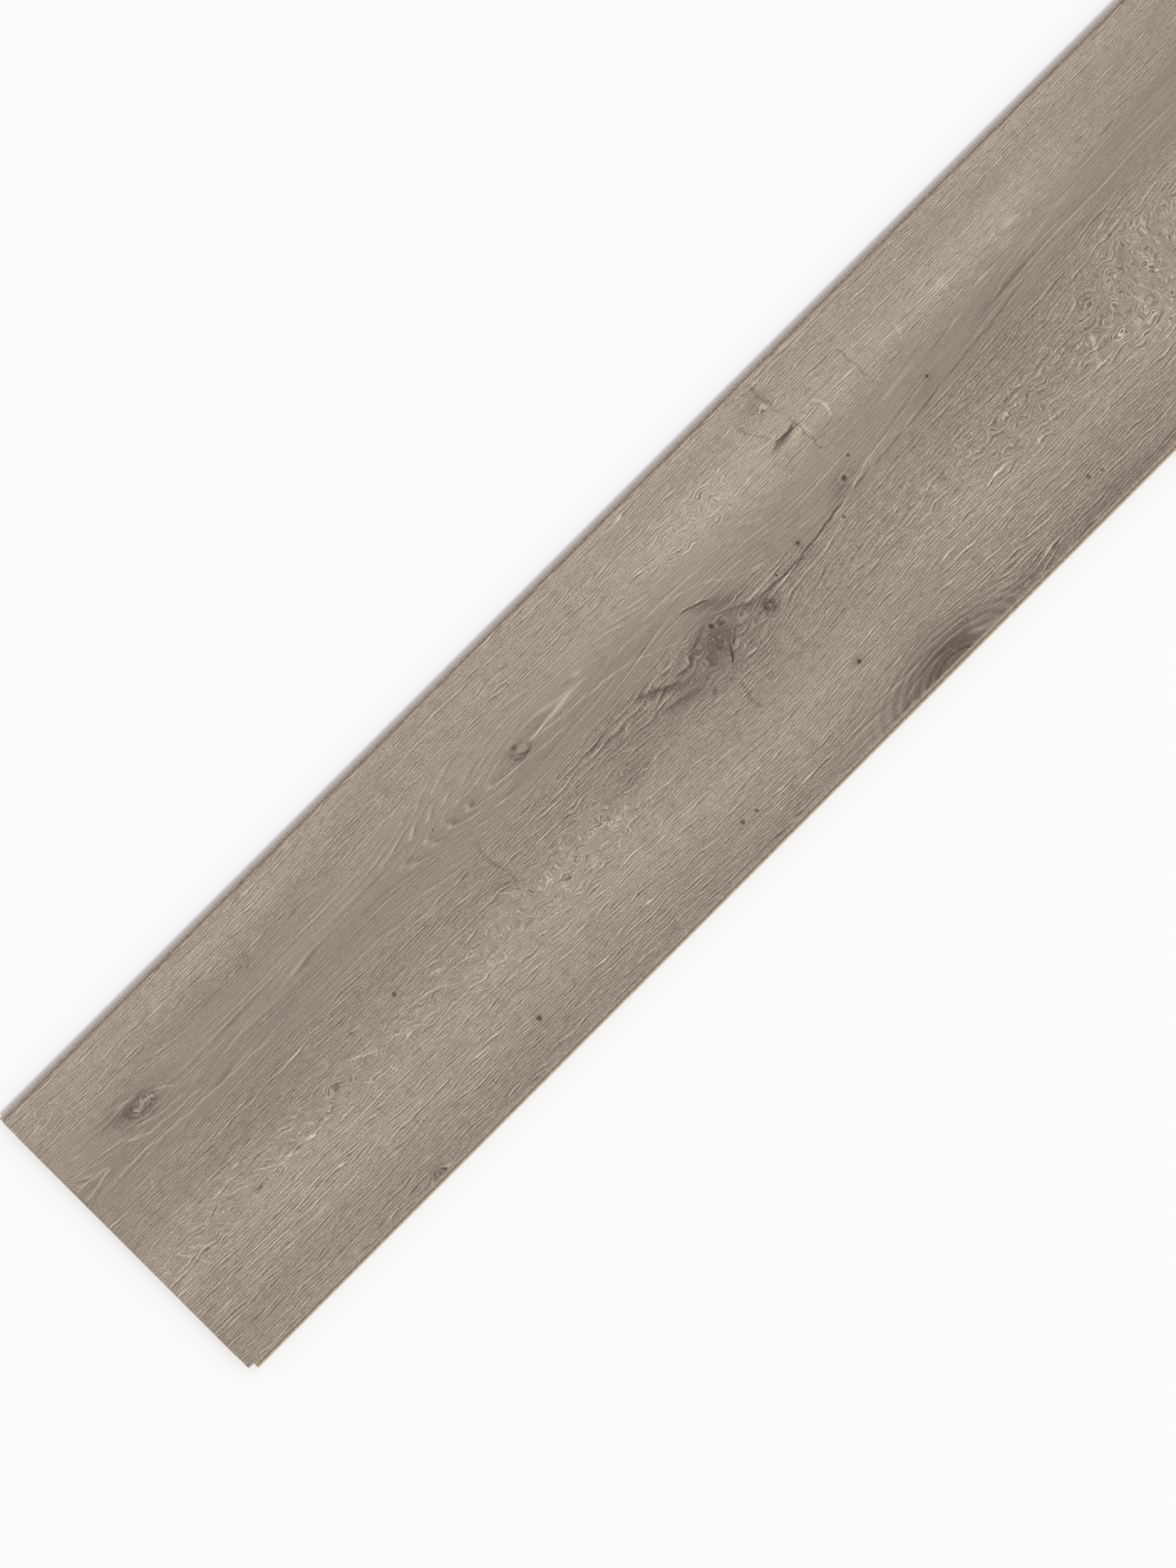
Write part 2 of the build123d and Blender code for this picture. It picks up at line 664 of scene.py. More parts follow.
TRACES = (
    Trace(((-240, 9), (-233, 12), (-226.5, 13.5), (-221, 16.3), (-212, 16.8), (-205, 14),
           (-196, 9.5), (-188, 6)), 1.1, -0.07, 0.06),
    Trace(((-190, 6.4), (-178, 5.2), (-167, 4.8), (-150, 5.6), (-141, 7), (-132, 8.6), (-114, 11)),
          1, -0.22, 0.12),
    Trace(((-130, 9.2), (-112, 11.2), (-96, 12.4), (-60, 15), (-30, 17.5), (-13, 20), (6, 21.5),
           (20, 23), (30, 25), (50, 27.5)), 0.9, -0.10, 0.05),
    Trace(((-225, 30.6), (-216, 28.3), (-207, 24.8)), 0.9, -0.20, 0.10),
    Trace(((-225, 31.8), (-216, 29.6), (-207, 26.2)), 0.9, 0.10),
    Trace(((-120, 60), (-112, 59.7), (-104, 61.2)), 0.9, -0.26, 0.12),
    Trace(((-644, 57), (-632, 56), (-620, 51.8), (-605, 41.5)), 1.1, 0.11),
    Trace(((-654, 44), (-645, 38.5), (-634, 34.8), (-620, 33.4), (-596, 33)), 1, 0.10),
    Trace(((-642, 45), (-634, 40.8), (-624, 38.4), (-606, 37.4)), 1, 0.10),
    Trace(((-636, 51), (-631, 49), (-626, 49.6), (-619, 48.4)), 0.9, 0.13),
    Trace(((-635, 48.6), (-627, 46.4), (-619, 46.8)), 0.9, -0.07, 0.08),
    Trace(((-628, 54.6), (-621, 53), (-615.5, 49)), 0.9, -0.10),
    Trace(((-690, 27.6), (-668, 29.6), (-648, 30), (-630, 28.4), (-600, 26.5), (-540, 25)), 0.9, 0.10),
    Trace(((-690, 40.5), (-676, 39.2), (-664, 37)), 1, 0.13),
    Trace(((-690, 32.5), (-678, 34.4), (-664, 36.8)), 1, 0.13),
    Trace(((-400, 39), (-394, 43), (-376, 44), (-356, 45)), 0.8, 0.05),
    Trace(((-400, 38.6), (-393, 34), (-372, 31.8), (-352, 31)), 0.8, 0.05),
    Trace(((-370, 39.4), (-362, 42), (-350, 43.8)), 0.8, 0.07),
    Trace(((-370, 38.8), (-360, 35.6), (-345, 33.6), (-326, 31.6), (-306, 31.8)), 0.8, 0.08),
    Trace(((-336, 38.6), (-320, 40.6), (-305, 42.2), (-282, 42.6)), 0.8, 0.10),
    Trace(((-336, 38.2), (-323, 38), (-310, 36.5), (-297, 35.5), (-270, 32)), 0.8, 0.09),
    Trace(((-348, 38.6), (-341, 35.8), (-333, 38.4)), 0.8, -0.12, 0.05),
    Trace(((-292, 34.5), (-270, 32.4), (-250, 26), (-232, 17)), 0.8, 0.07),
    Trace(((-268, 39), (-256, 40), (-240, 39.4)), 0.8, 0.07),
    Trace(((-236, 41), (-206, 35), (-186, 23), (-164, 17)), 0.8, 0.06),
    Trace(((-205, -3), (-195, -4.5), (-186, -9), (-177, -5), (-160, -3)), 0.9, 0.07),
    Trace(((-160, -1), (-143, -1.5), (-132, 1), (-122, 4), (-108, 5), (-80, 7)), 0.8, 0.07),
    Trace(((-128, 7.2), (-116, 9.8), (-104, 12.8), (-92, 16.5), (-82, 19.5)), 0.9, 0.11),
    Trace(((-92, 13.5), (-84, 18), (-72, 19.5)), 0.8, 0.07),
    Trace(((-118.2, 63), (-122, 67), (-125.4, 72), (-127.6, 78), (-128.6, 85)), 1.2, -0.055, 0.03, True),
    Trace(((20, 29.6), (27, 33), (42, 36), (66, 40)), 0.9, 0.08),
    Trace(((20, 29), (36, 28), (64, 29), (100, 31)), 0.9, 0.07),
    Trace(((52, 34.4), (60, 38), (72, 41), (100, 44)), 0.9, 0.06),
    Trace(((-100, 37), (-103.6, 42), (-102.6, 47), (-104.2, 52), (-103, 57), (-104, 62),
           (-103.6, 68)), 1.2, -0.085, 0.04, True),
    Trace(((-100, 49), (-101.6, 52), (-102.3, 58)), 0.9, 0.08, 0, True),
    Trace(((-104, 68), (-106.6, 73), (-106.2, 78), (-108.2, 84), (-107.4, 89), (-109, 96)),
          2, -0.06, 0.03, True),
    Trace(((-88, 48), (-85, 53), (-85.2, 58), (-88.6, 64)), 1.3, 0.11, 0, True),
    Trace(((-56, 49), (-57.4, 54), (-56.6, 59), (-58.2, 64), (-57.8, 69), (-60, 75)),
          1.4, -0.075, 0.04, True),
    Trace(((-228, -40), (-229, -30), (-226, -20)), 2.2, -0.06, 0.03, True),
    Trace(((-395, -14), (-393, -4), (-396, 8), (-394, 23)), 1.8, -0.06, 0.03, True),
    Trace(((36, -41), (43, -29), (49, -18)), 2.4, 0.07, 0, True),
    Trace(((84.5, -35), (80.5, -28), (79, -20)), 1.1, 0.08, 0, True),
    Trace(((88, -36.5), (90.5, -32), (87.5, -26), (86, -19)), 1.1, 0.08, 0, True),
    Trace(((98, -23), (99.3, -12), (97, -2)), 1.1, 0.08, 0, True),
)

FLECKS = (
    Fleck(-627, 51.4, 6, 1.1, 48, 0.15),
    Fleck(-623.4, 49, 6.5, 1.1, 70, 0.13),
    Fleck(-632, 48.6, 5, 1, -62, 0.11),
    Fleck(-219.5, -5.5, 15, 1.5, 52, -0.32, 0.18),
    Fleck(-213, -1.2, 7, 1.3, 40, -0.20, 0.08),
    Fleck(-247, 6.5, 9, 1.4, -14, -0.14),
    Fleck(-221, 5, 8, 0.9, 88, 0.14),
    Fleck(-216.5, 2.5, 13, 1, 50, 0.08),
    Fleck(-241, -14.5, 8, 3, 52, -0.08),
    Fleck(-229, -15, 7, 2.6, -40, -0.07),
    Fleck(-185.4, -1, 6, 1, -20, 0.16),
    Fleck(-185.2, -1.4, 6, 1, 75, 0.14),
    Fleck(-670.5, -27, 12, 1.6, -48, 0.08),
    Fleck(-665.8, -35.5, 10, 1.6, -75, 0.08),
    Fleck(-661.5, -29, 15, 1.5, -36, 0.09),
    Fleck(-639.5, -25, 10, 1.1, -6, 0.08),
    Fleck(-621.5, -23.4, 18, 1.4, -20, 0.08),
    Fleck(-604.5, -24.4, 16, 1.5, -30, 0.09),
    Fleck(-588.5, -29.5, 16, 1.8, -28, 0.09),
    Fleck(-575.5, -29.5, 17, 1.8, -25, 0.09),
    Fleck(-569, -24.5, 10, 1.4, -32, 0.08),
    Fleck(-584.5, -18, 17, 1.3, -15, 0.07),
    Fleck(-615, -12, 30, 1.2, -13, 0.06),
    Fleck(-552, -21, 10, 1.4, -27, 0.08),
    Fleck(-522, -18.5, 32, 1.5, -24, 0.10),
    Fleck(-530, -31.7, 9, 1.5, -44, 0.08),
    Fleck(-514.8, -36, 7, 1.3, -75, 0.08),
    Fleck(-487.8, -28.5, 10, 1.4, -39, 0.08),
    Fleck(-469, -20.5, 28, 1.4, -20, 0.09),
    Fleck(-458.5, -15.2, 15, 1.4, -19, 0.08),
    Fleck(-442, -21.5, 14, 1.5, -24, 0.08),
    Fleck(-436, -32.5, 7, 3.6, 85, 0.06),
    Fleck(-426.7, -34.5, 10, 1.6, 84, 0.08),
    Fleck(-402.5, -10.5, 12, 1.5, -38, 0.09),
    Fleck(-379, -21, 9, 3.6, 88, 0.08),
    Fleck(-376, -32.5, 9, 5, 80, 0.07),
    Fleck(-334.5, -23.7, 8, 1.7, 65, 0.09),
    Fleck(-338.8, -36.5, 10, 1.4, 50, 0.09),
    Fleck(-328.6, -32.5, 14, 1.5, 86, 0.08),
    Fleck(-297.5, -3, 10, 1.3, -18, 0.08),
    Fleck(-291.5, 4.8, 10, 1.6, 36, 0.09),
    Fleck(-26.5, 58, 10, 3.2, 88, 0.06),
    Fleck(8, 58.6, 15, 3.4, 2, 0.06),
    Fleck(9, 55, 7, 4, -70, 0.05),
    Fleck(60, 55.4, 20, 4.4, -6, 0.06),
    Fleck(-0.5, -37, 8, 1.4, 66, 0.07),
    Fleck(-113, 58.6, 27, 4.2, 6, -0.15, 0.10),
    Fleck(-341.5, 38, 13, 1.6, -32, -0.12),
    Fleck(-262, 8.5, 34, 2.2, -24, -0.09),
    Fleck(-258, -4, 28, 2.6, -12, -0.07),
    Fleck(-141, -91, 10, 1, 70, 0.07),
    Fleck(-131, -90, 9, 1, 105, 0.06),
    Fleck(-113.5, -85, 6, 1, 60, -0.10),
    Fleck(-116.5, -85, 6, 1, -50, -0.10),
)

# What changes along the face or across the grain, in millimetres along each course
CALM_MIDDLE = Course(((-690, 42), (-450, 41), (-300, 40), (-200, 34), (-110, 24), (0, 29), (140, 40),
                      (360, 36), (690, 44)), 100)
CALM_HALF_WIDTH = Course(((-690, 22), (-300, 21), (-180, 16), (-60, 14), (140, 13), (690, 20)), 100)
FLECK_DRIFT = Course(((-690, -60), (-430, 20), (-360, 24), (-280, -20), (40, -10), (130, -70), (400, 10),
                      (690, -40)), 100)
ARCHES = Course(((-690, -6), (-640, 4), (-460, 6), (-340, -8), (-200, 0), (10, 6), (140, -6), (420, 8),
                 (690, -4)), 40)
LINE_STRENGTH = Course(((-100, 0.95), (-60, 0.98), (-22, 1.26), (10, 0.94), (50, 0.95), (75, 0.84),
                        (100, 0.84)), 2)
BAND_TONE = Course(((-100, -0.037), (-72, -0.03), (-55, -0.002), (-38, 0.003), (-22, -0.005), (-8, -0.03),
                    (10, -0.04), (30, -0.045), (50, -0.02), (70, 0), (100, 0.025)), 0.1)

# Where the grain is calm, with a tone of 1 for quite smooth, and where it curls, with a tone in millimetres
CALM_SPOTS = (Patch(-145, -98, 150, 46, 0, 1), Patch(-226, 3, 64, 32, 10, 0.6))
CURLS = (
    Patch(-222, 2, 76, 40, 10, 2.2),
    Patch(104, -22, 120, 60, 0, 5.5),
    Patch(-560, -24, 300, 26, 2, 2.6),
    Patch(-370, -24, 200, 40, 6, 3.4),
    Patch(-30, -30, 150, 40, 0, 2),
    Patch(-176, 61, 80, 30, 0, 3.4),
    Patch(-113, 83, 44, 26, 0, 3),
    Patch(-629, 49, 40, 20, 0, 1.6),
    Patch(430, -20, 220, 36, 0, 3),
)

# Marks that one inner tree holds, and how far a tone moves the next group's place
GROUP_SIZE = 6
NO_SHIFT = 1e-9


@dataclass(frozen=True)
class Wood:
    """What the grain is like. Lengths are in millimetres, and tones are shares of full brightness."""

    # Unsteady outlines of the marks
    shake_x: Cells = Cells(8, 8, 19, 0.6, detail=1)
    shake_y: Cells = Cells(8, 8, 20, 0.6, detail=1)

    # How the grain's lines run
    rise_start: float = -200.0
    rise_run: float = 330.0
    rise_slope: float = -0.085
    rise_middle: float = 20.0
    rise_width: float = 45.0
    sway: Cells = Cells(260, 70, 1, 3.0)
    waver: Cells = Cells(55, 22, 2, 0.9)
    curl: Cells = Cells(11, 7, 18, detail=1)

    # The calm band, and how much of each other part it takes away
    calm_border: Cells = Cells(40, 6, 3, 0.3)
    calm_edge: Edge = (1.3, 0.75)
    calm_spot_edge: Edge = (1.2, 0.7)
    calm_lines: float = 0.7
    calm_swell: float = 0.6
    calm_pores: float = 0.8
    calm_fibres: float = 0.4

    # Grain lines of the print: broad bands, light ridges each with a painted shade of a groove beside it, and
    # stray light and dark threads
    grain_lines_and_shade_by: float = 0.094
    warp: Cells = Cells(26, 5, 4, 1.1, detail=1)
    beat: Cells = Cells(14, 2, 5, 0.95)
    beat_level: float = 0.8
    band_spacing: float = 2.4
    band_sharpness: float = 3.0
    band_level: float = 0.31
    band_by: float = 0.4
    ridge_spacing: float = 1.65
    ridge_start: float = 1.0
    ridge_sharpness: float = 6.0
    ridge_by: float = 1.6
    # Painted groove shade: how far it lies beside each ridge
    groove_shade_turn: float = 1.6
    light: Cells = Cells(26, 1.35, 13, 0.5, detail=1)
    dark: Cells = Cells(20, 1.35, 14, -0.5, detail=1)
    thread_width: float = 0.13
    flecks: Cells = Cells(13, 2.4, 15, detail=1)
    fleck_width: float = 0.16
    fleck_middle: float = -20.0
    fleck_spread: float = 20.0
    fleck_share: float = 0.5
    patches: Cells = Cells(70, 12, 11, 0.3)

    # Growth lines of the calm band, each with a painted shade beside it
    growth_by: float = 0.10
    growth: Cells = Cells(60, 3, 12, 1.3)
    growth_level: float = 0.55
    growth_spacing: float = 2.6
    growth_sharpness: float = 5.0
    painted_shade_turn: float = 1.3
    painted_shade_sharpness: float = 4.0
    painted_shade_by: float = 0.7
    arch: Cells = Cells(120, 9, 6, 2.6, detail=1)
    arch_roundness: float = 6.0

    # Even tone of the print and what varies it
    tone: float = 0.555
    clouds: Cells = Cells(150, 22, 7, 0.022, detail=1)
    streaks: Cells = Cells(34, 3, 8, 0.014, detail=1, roughness=0.6)
    fibres: Cells = Cells(6, 0.5, 9, 0.06)
    dust: Cells = Cells(1.4, 0.42, 22, 0.10)
    pores: Cells = Cells(9, 0.5, 10, -0.05)
    pore_edge: Edge = (0.3, 0.55)

    # Relief
    swell: Cells = Cells(26, 1.5, 16, 0.08)


class Grain:
    """The grain field of the decor face, written into one node tree."""

    thread_core: float = 0.2

    def __init__(self, bench: Bench, spot: bpy.types.NodeSocket, wood: Wood = Wood()) -> None:
        """Works out how the grain flows.

        Args:
            bench: Where the nodes go.
            spot: Place along and across the plank, in millimetres from its middle.
            wood: What the grain is like.
        """
        parts = bench.parted(spot)
        self.bench = bench
        self.spot = spot
        self.wood = wood
        self.x = parts["X"]
        self.y = parts["Y"]
        self.place = (self.x, self.y)
        self.shaky = (bench.varied(self.x, spot, wood.shake_x), bench.varied(self.y, spot, wood.shake_y))
        self.line = self._flow()
        self.grain = bench.joined(self.x, self.line)
        self.calm = self._calm()

    def _flow(self) -> Signal:
        """Works out the grain's lines.

        Returns:
            The number that stays the same along each of them, in millimetres.
        """
        bench, wood = self.bench, self.wood
        run = (self.x - wood.rise_start).at_least(0.0).at_most(wood.rise_run)
        rise = run * ((self.y - wood.rise_middle) / wood.rise_width).bell()
        line = rise.onto(self.y, wood.rise_slope)
        line = bench.varied(line, self.spot, wood.sway)
        line = bench.varied(line, self.spot, wood.waver)
        first, *others = CURLS
        curl = first.share(self.place) * first.tone
        for mark in others:
            curl = mark.draw(self.place, curl)
        line = bench.noise(self.spot, wood.curl).onto(line, curl)
        for knot in KNOTS:
            line = knot.part(self.spot, self.y, line)
        return line

    def _calm(self) -> Signal:
        """Works out where the wood is smooth.

        Returns:
            1 in the calm band of broad growth lines, 0 where the wood is full of pores.
        """
        bench, wood = self.bench, self.wood
        middle = bench.curve(self.x, CALM_MIDDLE)
        half = bench.curve(self.x, CALM_HALF_WIDTH)
        off = bench.varied((self.y - middle).size() / half, self.grain, wood.calm_border)
        calm = off.fade(*wood.calm_edge)
        for mark in CALM_SPOTS:
            calm = calm.at_least(mark.outline(self.place).fade(*wood.calm_spot_edge) * mark.tone)
        return calm

    def _outside(self, share: float) -> Signal:
        """1 outside the calm band, and less by a share inside it."""
        return 1.0 - self.calm * share

    def _threads(self, spot: bpy.types.NodeSocket, cells: Cells, width: float) -> Signal:
        """Thin lines where a noise passes through zero."""
        return self.bench.noise(spot, cells).size().fade(width, width * self.thread_core)

    def _grain_lines_and_painted_shade(self) -> Signal:
        """Works out the grain lines of the print, with a painted groove shade beside each light ridge.

        Returns:
            Their strength, about -1 to 1.
        """
        bench, grain, wood = self.bench, self.grain, self.wood
        warp = bench.varied(self.line, grain, wood.warp)
        beat = bench.varied(wood.beat_level, grain, wood.beat)
        bands = (warp * (math.tau / wood.band_spacing)).crest(wood.band_sharpness) - wood.band_level
        turn = warp * (math.tau / wood.ridge_spacing) + wood.ridge_start
        ridge = turn.crest(wood.ridge_sharpness)
        # Painted shade: a darker line beside each light ridge, as if a pressed groove lay there in shadow
        groove_painted_shade = (turn + wood.groove_shade_turn).crest(wood.ridge_sharpness)
        lines = (ridge - groove_painted_shade).onto(bands * wood.band_by, wood.ridge_by) * beat
        for cells in (wood.light, wood.dark):
            lines = self._threads(grain, cells, wood.thread_width).onto(lines, cells.by)
        drift = bench.joined(self.x, self.line + bench.curve(self.x, FLECK_DRIFT))
        flecks = self._threads(drift, wood.flecks, wood.fleck_width)
        share = ((self.line - wood.fleck_middle) / wood.fleck_spread).bell() * wood.fleck_share
        mixed = (flecks - lines).onto(lines, share)
        patchy = bench.varied(bench.curve(self.line, LINE_STRENGTH), grain, wood.patches)
        return mixed * patchy * self._outside(wood.calm_lines)

    def _growth(self) -> Signal:
        """Works out the growth lines of the calm band: thin light lines with a painted shade on one side.

        Returns:
            Their strength, about -1 to 1.
        """
        bench, wood = self.bench, self.wood
        off = self.line - bench.curve(self.x, CALM_MIDDLE)
        arch = (off * off + wood.arch_roundness).root() + bench.curve(self.x, ARCHES)
        turn = bench.varied(arch, self.grain, wood.arch) * (math.tau / wood.growth_spacing)
        light = turn.crest(wood.growth_sharpness)
        # Painted shade: a darker line beside each light growth line, as if the line stood up and were lit
        # from one side
        shade = (turn + wood.painted_shade_turn).crest(wood.painted_shade_sharpness)
        strength = bench.varied(wood.growth_level, self.grain, wood.growth).at_least(0.0)
        return (light - shade * wood.painted_shade_by) * strength * self.calm

    def _grouped(self, name: str, marks: Sequence[Mark], work: Callable[..., Signal],
                 start: Signal) -> Signal:
        """Adds marks to a value, a small group at a time.

        Args:
            name: What the inner trees are called.
            marks: The marks, in the order that they are added.
            work: Adds one group, which it takes with the place and the value so far.
            start: The value without the marks.

        Returns:
            The value with them.
        """
        value = start
        for first in range(0, len(marks), GROUP_SIZE):
            group = marks[first:first + GROUP_SIZE]
            value = self.bench.packed(name, (*self.shaky, value), partial(work, group))
        return value

    @staticmethod
    def _draw(group: Sequence[Mark], x: Signal, y: Signal, tone: Signal) -> Signal:
        """Adds a group of marks to a tone.

        The place that they are drawn from also hangs on the tone so far, by far less than shows. The groups
        are then worked out one after the other, and the shader holds few values at a time.

        Args:
            group: The marks.
            x: Place along the plank, in millimetres.
            y: Place across the plank, in millimetres.
            tone: The brightness without the group.

        Returns:
            The brightness with it.
        """
        place = (tone.onto(x, NO_SHIFT), tone.onto(y, NO_SHIFT))
        for mark in group:
            tone = mark.draw(place, tone)
        return tone

    @staticmethod
    def _press(group: Sequence[Mark], x: Signal, y: Signal, height: Signal) -> Signal:
        """Presses a group of marks into a height.

        Args:
            group: The marks.
            x: Place along the plank, in millimetres.
            y: Place across the plank, in millimetres.
            height: The height without the group, in millimetres.

        Returns:
            The height with it.
        """
        for mark in group:
            height = mark.share((x, y)).onto(height, -mark.dent)
        return height

    def tone(self) -> Signal:
        """Works out the print.

        Returns:
            Its brightness, as a share of white on a screen.
        """
        bench, grain, wood = self.bench, self.grain, self.wood
        marks = (*PATCHES, *KNOTS, *PINS, *FLECKS, *TRACES)
        tone = self._grouped("print_marks", marks, self._draw, bench.curve(self.line, BAND_TONE) + wood.tone)
        for cells in (wood.clouds, wood.streaks):
            tone = bench.varied(tone, grain, cells)
        fibres = bench.varied(bench.noise(grain, wood.dust) * wood.dust.by, grain, wood.fibres)
        tone = fibres.onto(tone, self._outside(wood.calm_fibres))
        pores = bench.noise(grain, wood.pores).fade(*wood.pore_edge) * self._outside(wood.calm_pores)
        tone = pores.onto(tone, wood.pores.by)
        # Grain lines of the print, with their painted groove shade
        tone = self._grain_lines_and_painted_shade().onto(tone, wood.grain_lines_and_shade_by)
        return self._growth().onto(tone, wood.growth_by)

    def relief(self) -> Signal:
        """Works out the pressed face.

        Returns:
            Its height against its level, in millimetres.
        """
        swell = self.wood.swell
        height = self.bench.noise(self.grain, swell) * self._outside(self.wood.calm_swell) * swell.by
        marks = [mark for mark in (*KNOTS, *PINS, *FLECKS, *TRACES) if mark.dent]
        return self._grouped("pressed_marks", marks, self._press, height)


def new_finish(name: str) -> tuple[bpy.types.Material, Bench, bpy.types.Node]:
    """Makes a material with a plain shader and an empty bench.

    Args:
        name: The material's name.

    Returns:
        The material, a bench on its tree and its Principled shader.
    """
    material = bpy.data.materials.new(name)
    material.use_nodes = True
    tree = material.node_tree
    tree.nodes.clear()
    bench = Bench(tree)
    shader = bench.node("ShaderNodeBsdfPrincipled")
    output = bench.node("ShaderNodeOutputMaterial")
    tree.links.new(shader.outputs[0], output.inputs["Surface"])
    return material, bench, shader


def object_spot(bench: Bench, height: float = 0.0) -> bpy.types.NodeSocket:
    """The shaded point's place in the plank in millimetres, with its height times a factor."""
    place = bench.node("ShaderNodeTexCoord").outputs["Object"]
    return bench.vector("MULTIPLY", place, (TO_MM, TO_MM, height))


def colour_ramp(bench: Bench, tone: Signal, stops: Stops) -> Signal:
    """Turns a tone into a colour.

    Args:
        bench: Where the node goes.
        tone: The tone, from 0 to 1.
        stops: Tones with the colours that they have on a screen.

    Returns:
        The colour.
    """
    node = bench.node("ShaderNodeValToRGB")
    ramp = node.color_ramp
    while len(ramp.elements) < len(stops):
        ramp.elements.new(0.5)
    for element, (position, colour) in zip(ramp.elements, stops):
        element.position = position
        element.color = linear(*colour)
    bench.feed(node.inputs[0], tone)
    return Signal(bench, node.outputs[0])


@dataclass(frozen=True)
class Finish:
    """What all finishes share: colours by tone, a shine and a fine bump, whose depth is in millimetres."""

    name: str
    stops: Stops
    roughness: float
    shine: float
    bump: float
    bump_depth: float

    def dress(self, bench: Bench, shader: bpy.types.Node, tone: Signal) -> bpy.types.NodeSocket:
        """Gives a shader its colour, its shine and its bump.

        Args:
            bench: A bench on the shader's tree.
            shader: The shader.
            tone: The tone, from 0 to 1.

        Returns:
            The bump's height, which is still to be fed.
        """
        bench.feed(shader.inputs["Base Color"], colour_ramp(bench, tone, self.stops))
        shader.inputs["Roughness"].default_value = self.roughness
        shader.inputs["Specular IOR Level"].default_value = self.shine
        bump = bench.node("ShaderNodeBump")
        bump.inputs["Strength"].default_value = self.bump
        bump.inputs["Distance"].default_value = self.bump_depth * MM
        bench.feed(shader.inputs["Normal"], bump.outputs[0])
        return bump.inputs["Height"]


@dataclass(frozen=True)
class DecorFinish(Finish):
    """Printed oak decor under a matt wear layer."""

    name: str = "decor_face"
    stops: Stops = (
        (0.20, (66, 55, 50)),
        (0.39, (110, 98, 88)),
        (0.565, (155, 143, 130)),
        (0.74, (202, 189, 170)),
        (0.90, (236, 224, 203)),
    )
    roughness: float = 0.55
    shine: float = 0.3
    bump: float = 0.6
    bump_depth: float = 0.06
    pores: Cells = Cells(9, 0.55, 17)

    def build(self) -> bpy.types.Material:
        """Makes the material.

        Returns:
            The material.
        """
        material, bench, shader = new_finish(self.name)
        grain = Grain(bench, object_spot(bench))
        height = self.dress(bench, shader, grain.tone())
        bench.feed(height, bench.noise(grain.spot, self.pores))
        return material


@dataclass(frozen=True)
class CoreFinish(Finish):
    """Milled fibreboard, with the decor layer as a thin line along its upper edge."""

    name: str = "fibreboard_core"
    stops: Stops = ((0.0, (140, 123, 104)), (0.5, (181, 165, 145)), (1.0, (206, 192, 172)))
    roughness: float = 0.8
    shine: float = 0.2
    bump: float = 0.4
    bump_depth: float = 0.2
    fibres: Cells = Cells(1.5, 1.5, 21, 0.35, detail=2, roughness=0.6, height=0.3)
    specks: Cells = Cells(0.5, 0.5, 22, 0.25, detail=1, roughness=0.7, height=0.4)
    tone: float = 0.5
    decor_layer: float = 0.25
    decor_fade: float = 0.05
    decor_tone: float = -0.3

    def build(self, thickness: float) -> bpy.types.Material:
        """Makes the material.

        Args:
            thickness: The plank's thickness, in millimetres.

        Returns:
            The material.
        """
        material, bench, shader = new_finish(self.name)
        spot = object_spot(bench, TO_MM)
        fibres = bench.noise(spot, self.fibres)
        tone = bench.varied(fibres * self.fibres.by + self.tone, spot, self.specks)
        under = thickness - self.decor_layer
        layer = bench.parted(spot)["Z"].fade(under, under + self.decor_fade)
        bench.feed(self.dress(bench, shader, layer.onto(tone, self.decor_tone)), fibres)
        return material


@dataclass(frozen=True)
class BackingFinish(Finish):
    """Plain balancing paper on the underside."""

    name: str = "backing_paper"
    stops: Stops = ((0.0, (150, 138, 120)), (0.5, (172, 160, 141)), (1.0, (192, 181, 163)))
    roughness: float = 0.7
    shine: float = 0.25
    bump: float = 0.3
    bump_depth: float = 0.1
    clouds: Cells = Cells(60, 40, 31, 0.08, detail=2)
    pulp: Cells = Cells(2.2, 0.9, 32, 0.26, detail=2, roughness=0.65)
    tone: float = 0.5

    def build(self) -> bpy.types.Material:
        """Makes the material.

        Returns:
            The material.
        """
        material, bench, shader = new_finish(self.name)
        spot = object_spot(bench)
        pulp = bench.noise(spot, self.pulp)
        tone = pulp.onto(bench.varied(self.tone, spot, self.clouds), self.pulp.by)
        bench.feed(self.dress(bench, shader, tone), pulp)
        return material


